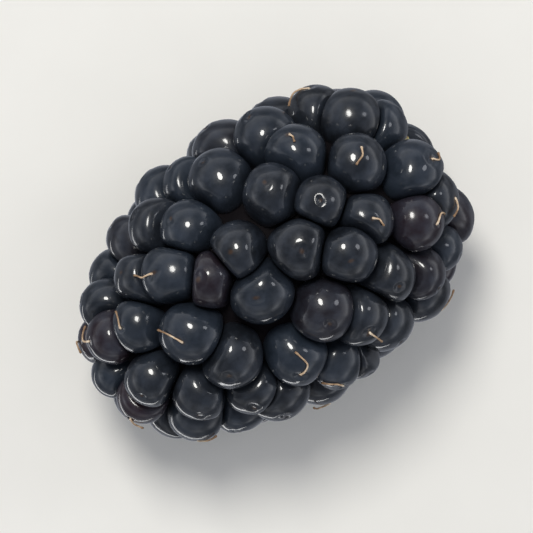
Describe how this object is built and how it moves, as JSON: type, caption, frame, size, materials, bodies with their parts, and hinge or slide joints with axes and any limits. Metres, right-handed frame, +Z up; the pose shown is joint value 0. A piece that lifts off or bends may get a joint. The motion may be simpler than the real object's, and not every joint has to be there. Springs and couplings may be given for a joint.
{
  "type": "bramble berry",
  "caption": "Ripe bramble berry lying on its side: a blunt egg of glossy near-black drupelets on a spiral, with the pale end of its receptacle showing.",
  "frame": {"origin": "on the surface that the berry lies on, under the middle of its bounding box", "axes": "+Z up; the berry's long axis runs along X, with the rounded tip at -X and the stem end with the receptacle at +X"},
  "size_m": [0.0306, 0.0218, 0.0217],
  "materials": {
    "berry_skin": "taut glossy fruit skin, near-black with a violet-blue cast",
    "receptacle_flesh": "matt, fibrous, pale yellow-green flesh",
    "dried_style": "dry, matt, tan threads"
  },
  "bodies": {
    "root": {"drupelets": "berry_skin", "receptacle": "receptacle_flesh"}
  },
  "joints": []
}
